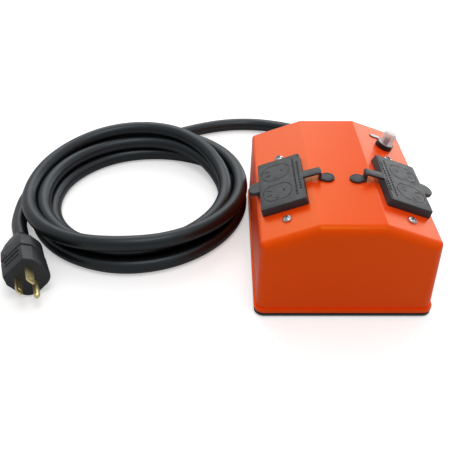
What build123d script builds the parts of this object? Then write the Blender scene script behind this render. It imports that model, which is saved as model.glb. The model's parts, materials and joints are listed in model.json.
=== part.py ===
from build123d import *
import os
from math import atan2, cos, pi, radians, sin, tan

os.makedirs("parts", exist_ok=True)

# Housing. Millimetres, origin on the ground under the middle of the housing, +Z up, front at -Y.
BASE_W, BASE_D = 137.0, 168.5
SHOULDER_Z, TOP_Z, TOP_HALF = 68.3, 84.3, 24.1
DRAFT = 1.5
FOLD_R, FRONT_R, BACK_R = 3.0, 6.8, 3.2
WALL = 2.8
FOOT_H, PLATE_T, SEAL_T = 1.5, 2.5, 0.8
LIP_H, LIP_OUT, LIP_R = 3.2, 1.2, 8.0
BOSS_X, BOSS_Y, BOSS_R, BOSS_BORE_R = 56.5, 72.5, 4.2, 1.9
BASE_SCREW_R, BASE_HEAD_R, BASE_HEAD_T, BASE_SCREW_TOP = 1.75, 3.6, 1.2, 17.0
FOOT_X, FOOT_Y, FOOT_R = 42.0, 58.0, 8.0
BREAK = 1.0

# Outlets under the two slanted panels: side sign and place of each along Y.
SIDES = {"left": (-1, -16.0), "right": (1, -18.0)}
OUTLET_S = 23.4
OUTLET_PITCH, BLADE_HALF, GROUND_DROP = 28.0, 6.35, 11.9
FACE_L, FACE_W, FACE_PROUD = 60.0, 31.0, 1.5
BODY_L, BODY_W, BODY_H = 57.0, 30.0, 16.0
SEAT_T = 1.4
CONTACT_W, GROUND_CONTACT_W, CONTACT_L, CONTACT_H = 3.8, 5.4, 50.0, 10.4
SLOT_W, LIVE_SLOT_L, NEUTRAL_SLOT_L, GROUND_HOLE_R, SLOT_SHIFT = 2.2, 7.0, 8.4, 2.6, 3.5
SCREW_HALF, YOKE_W, YOKE_T, EAR_END = 43.0, 16.0, 1.2, 5.0
SCREW_R, SCREW_HEAD_R, SCREW_HEAD_T, SCREW_IN = 1.6, 3.7, 2.3, 7.5

# Hinged rubber covers.
COVER_L, COVER_W, COVER_T, COVER_DEEP = 65.0, 36.6, 6.4, 3.0
COVER_CORNER, COVER_EDGE, COVER_GAP = 3.0, 1.2, 0.8
TAB_W, TAB_OUT, TAB_LOW, TAB_SHIFT, TAB_R = 15.0, 10.5, 2.6, 2.0, 4.5
STRAP_W, STRAP_T = 8.5, 1.8
HINGE_X, HINGE_Z = 17.7, 91.6
DISC_X, DISC_R, DISC_T, DISC_BUTTON = 11.6, 5.8, 1.8, 1.0
STEM_R, STEM_HEAD_R, STEM_HEAD_T = 2.1, 3.3, 2.5
CUT = 8.0
FIT = 0.05

# Resettable breaker, behind the right-hand cover.
BREAKER_S, BREAKER_Y = 24.5, 48.0
BREAKER_W, BREAKER_L, BREAKER_DEEP = 16.0, 28.0, 32.0
COLLAR_R, COLLAR_T, COLLAR_GROOVES = 7.6, 4.0, 24
BUSH_R, BUSH_TOP = 5.2, 4.2
BOOT_R, BOOT_TOP, BOOT_SKIN = 5.6, 14.4, 0.8
BUTTON_R, BUTTON_TOP, BUTTON_LOW, STOP_R, STOP_LOW, STOP_TOP = 2.6, 9.2, -12.5, 3.3, -9.0, -7.5
LUG_W, LUG_T, LUG_L, LUG_HALF = 6.3, 0.8, 8.0, 8.0
RATING_S, RATING_Y, RATING_L, RATING_W, RATING_T = 19.2, 62.3, 10.5, 5.2, 0.7

# Supply cord: a lead to the coil, the coil's outer shape, and a tail to the plug.
CORD_R = 6.75
CORD_Z = CORD_R + 0.1
GLAND_X, GLAND_Z, PAD_Y = 5.0, 23.0, 85.0
GLAND_R, GLAND_HEX, THREAD_R, BORE = 13.0, 6.0, 10.0, 1.2
NUT_R, NUT_START, NUT_TALL, GLAND_LEN, RELIEF_WIDE, RELIEF_TIP = 12.4, 6.1, 16.0, 36.0, 11.2, 8.6
COIL_X, COIL_Y, COIL_OUT, COIL_IN, COIL_H, COIL_EDGE = -177.8, 67.0, 106.0, 75.0, 35.0, 11.0

# Plug: rolled about its own axis, with the neck lower than the blade end.
PLUG_FACE = Vector(-249.5, -60.5, 19.1)
PLUG_AXIS = Vector(0.342, -0.940, 0.100).normalized()
PLUG_ROLL = 37.0
PLUG_SECTIONS = [(0, 34.0), (-2, 35.0), (-20, 31.0), (-36, 24.0), (-58, 18.0)]
BLADE_L, BLADE_T, BLADE_Y, LIVE_W, NEUTRAL_W, BLADE_HOLE_R = 17.5, 1.5, 4.0, 6.3, 7.9, 1.6
PIN_L, PIN_R, PIN_NECK_R, PIN_NECK_TOP = 20.0, 2.4, 2.1, 0.2
ROOT, BRIDGE_W, BRIDGE_LOW, BRIDGE_TOP = 12.0, 22.0, -14.0, -7.0

plate_z = FOOT_H + PLATE_T
wall_z = plate_z + SEAL_T
draft_k = tan(radians(DRAFT))
shoulder_half = BASE_W / 2 - SHOULDER_Z * draft_k
slope = atan2(TOP_Z - SHOULDER_Z, shoulder_half - TOP_HALF)


def save(shape, name):
    export_step(shape, f"parts/{name}.step")


def disc(x, y, z0, z1, r):
    return Pos(x, y, (z0 + z1) / 2) * Cylinder(r, z1 - z0)


def corners(x, y):
    return [(i * x, j * y) for i in (-1, 1) for j in (-1, 1)]


def slant(side, s, y, h=0.0):
    """Frame on a slanted panel: s down the slope from the fold, h out of the panel."""
    c, n = cos(slope), sin(slope)
    origin = (side * (TOP_HALF + s * c + h * n), y, TOP_Z - s * n + h * c)
    return Plane(origin=origin, x_dir=(side * c, 0, -n), z_dir=(side * n, 0, c))


def top_face(shape, plane):
    return max(shape.faces(), key=lambda f: plane.to_local_coords(f.center()).Z)


def stud(plane, r, h0, h1, x=0.0, y=0.0):
    return plane * Pos(x, y, (h0 + h1) / 2) * Cylinder(r, h1 - h0)


def block(plane, width, length, h0, h1, x=0.0, y=0.0):
    return plane * Pos(x, y, (h0 + h1) / 2) * Box(width, length, h1 - h0)


def tube(points, radii, r, inner=0.0):
    """Round tube along straight runs joined by tangent arcs."""
    path = FilletPolyline(*points, radius=radii)
    start = Plane(origin=path @ 0, z_dir=path % 0)
    section = Circle(r) - Circle(inner) if inner else Circle(r)
    return sweep(start * section, path=path), path.length


def bend_radii(points):
    """Radius at each inner point: 0.45 of the shorter run over the tangent of half the turn."""
    runs = [Vector(*b) - Vector(*a) for a, b in zip(points, points[1:])]
    radii = []
    for before, after in zip(runs, runs[1:]):
        turn = radians(before.get_angle(after))
        radii.append(0.45 * min(before.length, after.length) / tan(turn / 2))
    return radii


# ---------------------------------------------------------------- housing

def housing_form(inset, z0):
    """Roofed box with drafted walls and rounded folds and eaves, offset inwards by inset."""
    foot = BASE_W / 2 - inset - z0 * draft_k
    side = shoulder_half - inset
    eave = TOP_Z - inset * cos(slope) - (side - TOP_HALF + inset * sin(slope)) * tan(slope)
    ridge, top = TOP_HALF - inset * tan(slope / 2), TOP_Z - inset
    outline = Polyline((-foot, z0), (foot, z0), (side, eave), (ridge, top), (-ridge, top), (-side, eave),
                       close=True)
    face = make_face(outline)
    face = fillet([v for v in face.vertices() if v.Y > z0 + 1], FOLD_R)
    roof = extrude(Plane.XZ * face, BASE_D, both=True)
    form = roof & extrude(Rectangle(2 * BASE_W, BASE_D - 2 * inset), TOP_Z + 5, taper=DRAFT)
    form = fillet(arch(form, -1), FRONT_R - 0.9 * inset)
    return fillet(arch(form, 1), BACK_R - 0.9 * inset)


def arch(form, end):
    """Outline of the front (end -1) or back (end 1) wall, except its foot."""
    low = form.bounding_box().min.Z
    return [e for e in form.edges() if end * e.center().Y > BASE_D / 2 - 8 and e.center().Z > low + 1
            and e.bounding_box().size.Y < 3]


def lip_plan(grow):
    return RectangleRounded(BASE_W + 2 * grow, BASE_D + 2 * grow, LIP_R)


def make_casing():
    outer = housing_form(0.0, wall_z)
    lip = extrude(Pos(0, 0, wall_z) * lip_plan(LIP_OUT), LIP_H)
    pad = Pos(GLAND_X, PAD_Y - 4, GLAND_Z) * Rot(X=90) * Cylinder(GLAND_R + 2, 8)
    casing = outer + lip + pad - housing_form(WALL, wall_z - 1)
    for x, y in corners(BOSS_X, BOSS_Y):
        casing += disc(x, y, wall_z, TOP_Z, BOSS_R) & housing_form(1.0, wall_z)
    for x, y in corners(BOSS_X, BOSS_Y):
        casing -= disc(x, y, wall_z - 1, BASE_SCREW_TOP + 3, BOSS_BORE_R)
    for side, y in SIDES.values():
        panel = slant(side, OUTLET_S, y)
        casing -= block(panel, FACE_W + 0.6, FACE_L + 0.6, -CUT, CUT)
        for end in (-1, 1):
            casing -= stud(panel, SCREW_R + 0.4, -CUT, CUT, y=end * SCREW_HALF)
        casing -= disc(side * DISC_X, y, TOP_Z - CUT, TOP_Z + CUT, STEM_R + 0.2)
    breaker = slant(1, BREAKER_S, BREAKER_Y)
    casing -= stud(breaker, BUSH_R + 0.2, -CUT, CUT)
    casing -= Pos(GLAND_X, PAD_Y, GLAND_Z) * Rot(X=90) * Cylinder(THREAD_R + 0.2, 20)
    return casing


save(make_casing(), "top_casing")

plate = extrude(Pos(0, 0, FOOT_H) * lip_plan(LIP_OUT - 0.2), PLATE_T)
for x, y in corners(BOSS_X, BOSS_Y):
    plate -= disc(x, y, 0, plate_z + 1, BASE_SCREW_R + 0.25)
    plate -= disc(x, y, 0, FOOT_H + BASE_HEAD_T + 0.1, BASE_HEAD_R + 0.3)
save(plate, "base_plate")

seal = extrude(Pos(0, 0, plate_z) * lip_plan(LIP_OUT - 0.6), SEAL_T)
seal -= extrude(Pos(0, 0, plate_z) * RectangleRounded(BASE_W - 8, BASE_D - 8, 5), SEAL_T)
save(seal, "base_seal")

base_screws = Part() + [
    disc(x, y, FOOT_H + 0.1, FOOT_H + 0.1 + BASE_HEAD_T, BASE_HEAD_R)
    + disc(x, y, FOOT_H + BASE_HEAD_T / 2, BASE_SCREW_TOP, BASE_SCREW_R)
    for x, y in corners(BOSS_X, BOSS_Y)
]
save(base_screws, "base_screws")

feet = Part() + [disc(x, y, 0, FOOT_H, FOOT_R) for x, y in corners(FOOT_X, FOOT_Y)]
save(feet, "rubber_feet")

# ---------------------------------------------------------------- outlets and covers

def outlet_slots(panel, h0, h1):
    """Blade slots and ground holes of both outlets, for the face that carries them."""
    cuts = []
    for end in (-1, 1):
        y = end * OUTLET_PITCH / 2 + SLOT_SHIFT
        for x, length in ((-BLADE_HALF, NEUTRAL_SLOT_L), (BLADE_HALF, LIVE_SLOT_L)):
            cuts.append(block(panel, SLOT_W, length, h0, h1, x, y))
        cuts.append(stud(panel, GROUND_HOLE_R, h0, h1, 0, y - GROUND_DROP))
    return cuts


def channel(panel, x, width, h0):
    """Springy brass contact: two leaves on a web, open upwards."""
    outer = block(panel, width, CONTACT_L, h0, h0 + CONTACT_H, x)
    return outer - block(panel, width - 1.6, CONTACT_L + 2, h0 + 0.8, h0 + CONTACT_H + 1, x)


seat = -WALL - SEAT_T
bottom = seat - BODY_H
contact_floor = seat - CONTACT_H - 0.4
contacts = {
    "neutral": (-BLADE_HALF, CONTACT_W),
    "ground": (0, GROUND_CONTACT_W),
    "live": (BLADE_HALF, CONTACT_W),
}
ledge = seat - 1.3
ear_start = FACE_L / 2 + 0.35
ear_end = SCREW_HALF + EAR_END

for name, (side, y) in SIDES.items():
    panel = slant(side, OUTLET_S, y)

    face = block(panel, FACE_W, FACE_L, seat, FACE_PROUD)
    face = fillet(face.edges().group_by(Axis.Y)[0] + face.edges().group_by(Axis.Y)[-1], BREAK)
    for cut in outlet_slots(panel, seat - 1, FACE_PROUD + 1):
        face -= cut
    save(face, f"{name}_outlet_face")

    body = block(panel, BODY_W, BODY_L, bottom, seat)
    for pole, (x, width) in contacts.items():
        body -= block(panel, width + 0.2, CONTACT_L + 1, contact_floor - 0.2, seat + 1, x)
        save(channel(panel, x, width, contact_floor), f"{name}_{pole}_contact")
    save(body, f"{name}_outlet_body")

    yoke = block(panel, YOKE_W, BODY_L + 2.6, bottom - 1.3, ledge + YOKE_T)
    yoke -= block(panel, YOKE_W + 2, BODY_L + 0.1, bottom - 0.02, 0)
    for end in (-1, 1):
        inner_end = BODY_L / 2 + 0.05
        yoke += block(panel, YOKE_W, 3.4, ledge, ledge + YOKE_T, y=end * (inner_end + 1.7))
        yoke += block(panel, YOKE_W, 1.6, ledge, -WALL, y=end * (ear_start + 0.8))
        middle = (ear_start + ear_end) / 2
        yoke += block(panel, YOKE_W, ear_end - ear_start, -WALL - YOKE_T, -WALL, y=end * middle)
        yoke -= stud(panel, SCREW_R + 0.1, -CUT, 0, y=end * SCREW_HALF)
    save(yoke, f"{name}_outlet_yoke")

    cover = block(panel, COVER_W, COVER_L, FIT, COVER_T)
    cover = fillet(cover.edges().filter_by(lambda e: abs(e.length - COVER_T + FIT) < 0.1), COVER_CORNER)
    cover = fillet(top_face(cover, panel).edges(), COVER_EDGE)
    cover -= block(panel, FACE_W + 2 * COVER_GAP, FACE_L + 2 * COVER_GAP, 0, COVER_DEEP)
    tab_top = COVER_T - 0.6
    tab_x = COVER_W / 2 + TAB_OUT - 6
    tab = block(panel, 12.0, TAB_W, TAB_LOW, tab_top, tab_x, side * TAB_SHIFT)
    uprights = tab.edges().filter_by(lambda e: abs(e.length - tab_top + TAB_LOW) < 0.1)
    cover += fillet(sorted(uprights, key=lambda e: -panel.to_local_coords(e.center()).X)[:2], TAB_R)
    inner_x = OUTLET_S - COVER_W / 2
    climb = slant(side, inner_x, y, COVER_T - STRAP_T / 2).origin
    run = Vector(side * HINGE_X, y, HINGE_Z) - climb
    lead_in = Plane(origin=climb - run.normalized() * 3, x_dir=(0, 1, 0), z_dir=run)
    cover += lead_in * Pos(0, 0, (run.length + 3) / 2) * Box(STRAP_W, STRAP_T, run.length + 3)
    cover += Pos(side * HINGE_X, y, HINGE_Z) * Rot(X=90) * Cylinder(STRAP_T / 2, STRAP_W)
    save(cover, f"{name}_cover")

    anchor = disc(side * DISC_X, y, TOP_Z, TOP_Z + DISC_T + DISC_BUTTON, DISC_R)
    stem_low = TOP_Z - WALL - STEM_HEAD_T - 0.1
    anchor += disc(side * DISC_X, y, stem_low, TOP_Z, STEM_R)
    anchor += disc(side * DISC_X, y, stem_low, stem_low + STEM_HEAD_T, STEM_HEAD_R)
    flat_end = HINGE_X + STRAP_T / 2
    flat = Box(flat_end - DISC_X, STRAP_W, DISC_T)
    anchor += Pos(side * (DISC_X + flat_end) / 2, y, TOP_Z + DISC_T / 2) * flat
    rise = HINGE_Z - STRAP_T / 2 - 0.3
    anchor += Pos(side * HINGE_X, y, (TOP_Z + rise) / 2) * Box(STRAP_T, STRAP_W, rise - TOP_Z)
    save(anchor, f"{name}_cover_anchor")

face_screws = Part()
for side, y in SIDES.values():
    panel = slant(side, OUTLET_S, y)
    for end in (-1, 1):
        head = stud(panel, SCREW_HEAD_R, FIT, SCREW_HEAD_T, y=end * SCREW_HALF)
        head = fillet(top_face(head, panel).edges(), BREAK)
        head -= block(panel, 6.0, 1.0, SCREW_HEAD_T - 0.9, SCREW_HEAD_T + 1, y=end * SCREW_HALF)
        face_screws += head + stud(panel, SCREW_R, -SCREW_IN, FIT * 4, y=end * SCREW_HALF)
save(face_screws, "outlet_screws")

# ---------------------------------------------------------------- breaker

breaker = slant(1, BREAKER_S, BREAKER_Y)
case = block(breaker, BREAKER_W, BREAKER_L, -BREAKER_DEEP, -WALL - FIT)
case -= stud(breaker, STOP_R + 0.3, BUTTON_LOW - 1.5, 0)
save(case, "breaker_body")
bushing = stud(breaker, BUSH_R, -WALL - FIT, BUSH_TOP)
bushing -= stud(breaker, BUTTON_R + 0.08, -CUT, BUSH_TOP + 1)
save(bushing, "breaker_bushing")
collar = stud(breaker, COLLAR_R, FIT, COLLAR_T)
for i in range(COLLAR_GROOVES):
    groove = Rot(Z=i * 360 / COLLAR_GROOVES) * Pos(COLLAR_R + 0.15, 0, 2) * Rot(Z=45) * Box(0.8, 0.8, 5)
    collar -= breaker * groove
collar -= stud(breaker, BUSH_R + FIT, -1, 6)
save(collar, "breaker_collar")
dome_z = BOOT_TOP - BOOT_R
boot = stud(breaker, BOOT_R, BUSH_TOP + FIT, dome_z + 0.5) + breaker * Pos(0, 0, dome_z) * Sphere(BOOT_R)
boot &= stud(breaker, 2 * BOOT_R, BUSH_TOP + FIT, 2 * BOOT_TOP)
boot -= stud(breaker, BOOT_R - BOOT_SKIN, 0, dome_z)
boot -= breaker * Pos(0, 0, dome_z) * Sphere(BOOT_R - BOOT_SKIN)
save(boot, "breaker_boot")
button = stud(breaker, BUTTON_R, BUTTON_LOW, BUTTON_TOP) + stud(breaker, STOP_R, STOP_LOW, STOP_TOP)
save(button, "reset_button")
lug_low = -BREAKER_DEEP - LUG_L
lugs = [block(breaker, LUG_W, LUG_T, lug_low, -BREAKER_DEEP - FIT, y=j * LUG_HALF) for j in (-1, 1)]
save(Part() + lugs, "breaker_terminals")
rating = slant(1, RATING_S, RATING_Y, FIT)
save(extrude(rating * SlotOverall(RATING_L, RATING_W), RATING_T), "rating_plate")

# ---------------------------------------------------------------- surge board

BOARD_Z, BOARD_T, BOARD_W, BOARD_L, BOARD_Y = 12.0, 1.6, 76.0, 50.0, -30.0
POST_R, POST_BORE_R, BOARD_SCREW_R, BOARD_HEAD_R, BOARD_HEAD_T = 3.2, 1.55, 1.45, 2.8, 1.8
LEAD_R = 0.5
VARISTOR_R, VARISTOR_T, VARISTOR_STEP, VARISTOR_X = 8.0, 4.6, 14.0, -22.0
FUSE_X, FUSE_Y, FUSE_R, FUSE_L, FUSE_SPAN = -12.0, -18.0, 2.5, 12.0, 20.0
TERMINAL_X, TERMINAL_Y, TERMINAL_L, TERMINAL_SIZE, WAY_PITCH = 14.0, -15.0, 30.0, 12.0, 10.0
BAR_X, BAR_Y, BAR_L, BAR_SIZE = -30.0, 30.0, 34.0, 8.0

top_z = BOARD_Z + BOARD_T
board = Pos(0, BOARD_Y, BOARD_Z + BOARD_T / 2) * Box(BOARD_W, BOARD_L, BOARD_T)
posts = Part()
screws = Part()
for x, y in corners(BOARD_W / 2 - 4, BOARD_L / 2 - 4):
    y += BOARD_Y
    board -= disc(x, y, 0, TOP_Z, BOARD_SCREW_R + 0.25)
    posts += disc(x, y, plate_z, BOARD_Z, POST_R) - disc(x, y, plate_z + 1, TOP_Z, POST_BORE_R)
    screws += disc(x, y, top_z, top_z + BOARD_HEAD_T, BOARD_HEAD_R)
    screws += disc(x, y, BOARD_Z - 5, top_z + 0.4, BOARD_SCREW_R)
save(board, "surge_board")
save(posts, "board_posts")
save(screws, "board_screws")

varistors = Part()
varistor_y = BOARD_Y - VARISTOR_R
for i in range(3):
    x = VARISTOR_X + VARISTOR_STEP * i
    varistors += Pos(x, varistor_y, top_z + VARISTOR_R + 3) * Rot(Y=90) * Cylinder(VARISTOR_R, VARISTOR_T)
    for j in (-1, 1):
        varistors += disc(x, varistor_y + j * 3.7, top_z, top_z + 5, LEAD_R)
save(varistors, "varistors")

fuse_place = Pos(FUSE_X, FUSE_Y, top_z + FUSE_R + 0.1) * Rot(Y=90)
fuse = fuse_place * Cylinder(FUSE_R, FUSE_L) + fuse_place * Cylinder(LEAD_R, FUSE_SPAN)
for j in (-1, 1):
    fuse += disc(FUSE_X + j * (FUSE_SPAN / 2 - LEAD_R), FUSE_Y, top_z, top_z + FUSE_R + 0.6, LEAD_R)
save(fuse, "thermal_fuse")
save(Pos(26, BOARD_Y - 6, top_z + 7) * Box(12, 24, 14), "filter_capacitor")

terminal_mid = top_z + TERMINAL_SIZE / 2
terminal = Pos(TERMINAL_X, TERMINAL_Y, terminal_mid) * Box(TERMINAL_L, TERMINAL_SIZE, TERMINAL_SIZE)
bar = Pos(BAR_X, BAR_Y, plate_z + 1 + BAR_SIZE / 2) * Box(BAR_L, BAR_SIZE, BAR_SIZE)
for i in (-1, 0, 1):
    way_x = TERMINAL_X + WAY_PITCH * i
    terminal -= disc(way_x, TERMINAL_Y, terminal_mid, top_z + 20, 2.2)
    terminal -= Pos(way_x, TERMINAL_Y + 4, top_z + 4) * Box(5, 8.1, 5)
    bar -= disc(BAR_X + WAY_PITCH * i, BAR_Y, plate_z + 2, TOP_Z, 2.0)
save(terminal, "terminal_block")
save(bar, "ground_bar")

# ---------------------------------------------------------------- inner wires

WIRE_R = 1.6
JACKET_END = 75.0
line_lug, load_lug = [slant(1, BREAKER_S, BREAKER_Y + j * LUG_HALF, lug_low - 0.2).origin for j in (1, -1)]
wires = {
    "ground_wire": [
        (GLAND_X - 3.6, JACKET_END, GLAND_Z - 1), (-5, 58, 24), (-20, 45, 24), (-30, 36, 19),
        (-30.5, 31, 14.0),
    ],
    "neutral_wire": [
        (GLAND_X, JACKET_END, GLAND_Z + 3), (6, 43, 30), (12, 13, 28), (14, -5, 18), (14, -9.8, 17.6),
    ],
    "line_wire": [
        (GLAND_X + 3.6, JACKET_END, GLAND_Z - 1), (12, 62, 20), (23, 56.5, 21), (30, 56.2, 28),
        tuple(line_lug),
    ],
    "load_wire": [tuple(load_lug), (29, 36, 27), (26, 20, 19), (24, 3, 17), (24, -9.8, 17.6)],
}
for name, points in wires.items():
    wire, length = tube(points, bend_radii(points), WIRE_R)
    save(wire, name)

# ---------------------------------------------------------------- cord gland, cord and plug

back = Plane(origin=(GLAND_X, PAD_Y, GLAND_Z), x_dir=(1, 0, 0), z_dir=(0, 1, 0))
seat_end = 2 * GLAND_HEX
gland = back * extrude(RegularPolygon(GLAND_R, 6), GLAND_HEX)
gland += stud(back, THREAD_R, -seat_end, GLAND_HEX) + stud(back, THREAD_R - 1, GLAND_HEX - 0.1, seat_end)
gland -= stud(back, CORD_R + BORE, -seat_end - 1, seat_end + 1)
save(gland, "gland_body")

relief_l = GLAND_LEN - NUT_TALL
relief = back * Pos(0, 0, NUT_TALL + relief_l / 2) * Cone(RELIEF_WIDE, RELIEF_TIP, relief_l)
nut = stud(back, NUT_R, NUT_START, NUT_TALL)
nut = fillet(top_face(nut, back).edges(), BREAK) + relief
nut -= stud(back, THREAD_R - 0.8, 0, seat_end + 0.2)
nut -= stud(back, CORD_R + 0.35, 0, GLAND_LEN + 1)
save(nut, "gland_nut")

grip = stud(back, CORD_R + BORE - 0.1, -GLAND_HEX, seat_end) - stud(back, CORD_R, -GLAND_R, GLAND_LEN)
save(grip, "gland_seal")
lock = back * Pos(0, 0, -10.4) * extrude(RegularPolygon(GLAND_R + 0.5, 6), 4)
lock -= stud(back, THREAD_R + 0.15, -GLAND_R, 0)
save(lock, "gland_locknut")

LEAD = [
    (GLAND_X, JACKET_END + 1, GLAND_Z), (GLAND_X, 126, GLAND_Z), (3, 155, 21.5), (-8, 184, 16),
    (-30, 207, 9.5), (-60, 219.5, CORD_Z), (-94, 217.5, CORD_Z), (-130, 204, CORD_Z), (-166, 172, CORD_Z),
]
TAIL = [(-275.5, 84, CORD_Z), (-286, 42, CORD_Z), (-268.5, -8.1, 13.4)]
for name, points in (("cord_lead", LEAD), ("cord_tail", TAIL)):
    radii = bend_radii(points)
    solid, length = tube(points, radii, CORD_R)
    expected = pi * CORD_R ** 2 * length
    print(name, "length", round(length, 1), "volume over section x length", round(solid.volume / expected, 4),
          "radii", [round(r, 1) for r in radii])
    save(solid, name)

section = RectangleRounded(COIL_OUT - COIL_IN, COIL_H, COIL_EDGE)
ring = Plane.XZ * Pos((COIL_OUT + COIL_IN) / 2, 0.1 + COIL_H / 2) * section
save(Pos(COIL_X, COIL_Y, 0) * revolve(ring, Axis.Z), "cord_coil")

level = Vector(0, 0, 1).cross(PLUG_AXIS).normalized()
nose = Plane(origin=PLUG_FACE, x_dir=level.rotate(Axis((0, 0, 0), PLUG_AXIS), PLUG_ROLL), z_dir=PLUG_AXIS)


def octagon(z, across_flats):
    radius = across_flats / 2 / cos(pi / 8)
    return nose * Pos(0, 0, z) * Rot(Z=22.5) * RegularPolygon(radius, 8)


plug = Part()
for near, far in zip(PLUG_SECTIONS, PLUG_SECTIONS[1:]):
    plug += loft([octagon(*near), octagon(*far)], ruled=True)
bridge = block(nose, BRIDGE_W, BRIDGE_W, BRIDGE_LOW, BRIDGE_TOP)
plug -= block(nose, BRIDGE_W + 2 * FIT, BRIDGE_W + 2 * FIT, BRIDGE_LOW - FIT, BRIDGE_TOP + FIT)
blades = {"plug_live_blade": (-BLADE_HALF, LIVE_W), "plug_neutral_blade": (BLADE_HALF, NEUTRAL_W)}
for name, (x, width) in blades.items():
    blade = block(nose, BLADE_T, width, -ROOT, BLADE_L, x, BLADE_Y)
    across = blade.edges().filter_by(lambda e: abs(e.length - BLADE_T) < 0.01)
    blade = chamfer(sorted(across, key=lambda e: -nose.to_local_coords(e.center()).Z)[:2], 1.4)
    blade -= nose * Pos(x, BLADE_Y, BLADE_L - 4.6) * Rot(Y=90) * Cylinder(BLADE_HOLE_R, 4)
    slot = block(nose, BLADE_T + 2 * FIT, width + 2 * FIT, -ROOT - 0.1, 2, x, BLADE_Y)
    plug -= slot
    bridge -= slot
    save(blade, name)
pin_y = BLADE_Y - GROUND_DROP
pin_end = PIN_L - PIN_R
pin = stud(nose, PIN_NECK_R, -ROOT, PIN_NECK_TOP + 0.5, 0, pin_y)
pin += stud(nose, PIN_R, PIN_NECK_TOP, pin_end, 0, pin_y) + nose * Pos(0, pin_y, pin_end) * Sphere(PIN_R)
save(pin, "plug_ground_pin")
pin_hole = stud(nose, PIN_NECK_R + FIT, -ROOT - 0.1, 2, 0, pin_y)
save(plug - pin_hole, "plug_body")
save(bridge - pin_hole, "plug_bridge")
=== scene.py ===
import json
from math import asin, cos, pi, radians, sin

import bmesh
import bpy
from mathutils import Matrix, Vector


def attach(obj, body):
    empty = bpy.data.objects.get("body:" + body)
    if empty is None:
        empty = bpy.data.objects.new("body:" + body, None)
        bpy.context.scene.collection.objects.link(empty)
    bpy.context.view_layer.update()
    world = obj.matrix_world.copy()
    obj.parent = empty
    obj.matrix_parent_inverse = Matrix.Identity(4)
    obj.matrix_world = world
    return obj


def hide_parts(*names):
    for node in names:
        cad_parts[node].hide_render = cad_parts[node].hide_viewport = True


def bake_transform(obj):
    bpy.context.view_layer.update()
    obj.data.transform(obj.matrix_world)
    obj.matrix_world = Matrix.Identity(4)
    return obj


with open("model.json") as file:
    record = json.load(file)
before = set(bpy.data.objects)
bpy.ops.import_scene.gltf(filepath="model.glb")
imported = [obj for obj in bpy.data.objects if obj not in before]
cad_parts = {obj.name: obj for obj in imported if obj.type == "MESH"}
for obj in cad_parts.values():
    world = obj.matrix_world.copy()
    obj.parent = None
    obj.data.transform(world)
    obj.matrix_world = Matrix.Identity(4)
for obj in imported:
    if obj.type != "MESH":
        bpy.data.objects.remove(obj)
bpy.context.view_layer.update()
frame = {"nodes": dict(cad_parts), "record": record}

MM = 0.001
record = frame["record"]
mounts = {m["name"]: m for m in record["mounts"]}
joints = {j["name"]: j for j in record["behaviour"]["joints"]}

# ------------------------------------------------------------------ materials

# Span of a noise or edge-on value that a ramp is spread over: its middle, nearly all of it, all of it.
NOISE_SPAN, WIDE_SPAN, FULL_SPAN = (0.3, 0.7), (0.05, 0.95), (0.0, 1.0)

# Stretch that turns an even noise into the fine lines of drawn metal.
DRAWN_STRETCH = (1, 1, 14)


class Nodes:
    """Short helper for building one material's node tree."""

    def __init__(self, name, color, roughness, **sockets):
        self.material = bpy.data.materials.new(name)
        self.material.use_nodes = True
        self.tree = self.material.node_tree
        self.tree.nodes.clear()
        self.shader = self.add("ShaderNodeBsdfPrincipled")
        output = self.add("ShaderNodeOutputMaterial")
        self.tree.links.new(self.shader.outputs[0], output.inputs[0])
        self.coords = self.add("ShaderNodeTexCoord").outputs["Object"]
        self.shader.inputs["Base Color"].default_value = (*color, 1)
        self.shader.inputs["Roughness"].default_value = roughness
        for key, value in sockets.items():
            self.shader.inputs[key.replace("_", " ")].default_value = value

    def add(self, kind, **inputs):
        node = self.tree.nodes.new(kind)
        for key, value in inputs.items():
            node.inputs[key.replace("_", " ")].default_value = value
        return node

    def link(self, source, target):
        self.tree.links.new(source, target)

    def scaled(self, x, y, z):
        """Object coordinates stretched along the axes."""
        node = self.add("ShaderNodeMapping")
        node.inputs["Scale"].default_value = (x, y, z)
        self.link(self.coords, node.inputs["Vector"])
        return node.outputs[0]

    def noise(self, scale, detail, vector=None):
        node = self.add("ShaderNodeTexNoise", Scale=scale, Detail=detail, Roughness=0.5)
        self.link(vector or self.coords, node.inputs["Vector"])
        return node.outputs["Fac"]

    def ramp(self, source, low, high, at):
        """A value that goes from low to high while the source crosses the span given in at."""
        node = self.add("ShaderNodeMapRange")
        node.inputs["From Min"].default_value, node.inputs["From Max"].default_value = at
        node.inputs["To Min"].default_value, node.inputs["To Max"].default_value = low, high
        self.link(source, node.inputs["Value"])
        return node.outputs[0]

    def colors(self, source, first, second, at=NOISE_SPAN):
        """Base colour that wanders from one colour to another."""
        mix = self.add("ShaderNodeMix")
        mix.data_type = "RGBA"
        for socket in mix.inputs:
            if socket.name == "A" and socket.type == "RGBA":
                socket.default_value = (*first, 1)
            if socket.name == "B" and socket.type == "RGBA":
                socket.default_value = (*second, 1)
        self.link(self.ramp(source, 0.0, 1.0, at), mix.inputs["Factor"])
        color = [o for o in mix.outputs if o.type == "RGBA"][0]
        self.link(color, self.shader.inputs["Base Color"])

    def rough(self, source, low, high, at=NOISE_SPAN):
        self.link(self.ramp(source, low, high, at), self.shader.inputs["Roughness"])

    def bump(self, height, strength, distance, normal=None):
        node = self.add("ShaderNodeBump", Strength=strength, Distance=distance)
        self.link(height, node.inputs["Height"])
        if normal is not None:
            self.link(normal, node.inputs["Normal"])
        self.link(node.outputs[0], self.shader.inputs["Normal"])
        return node.outputs[0]


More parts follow.
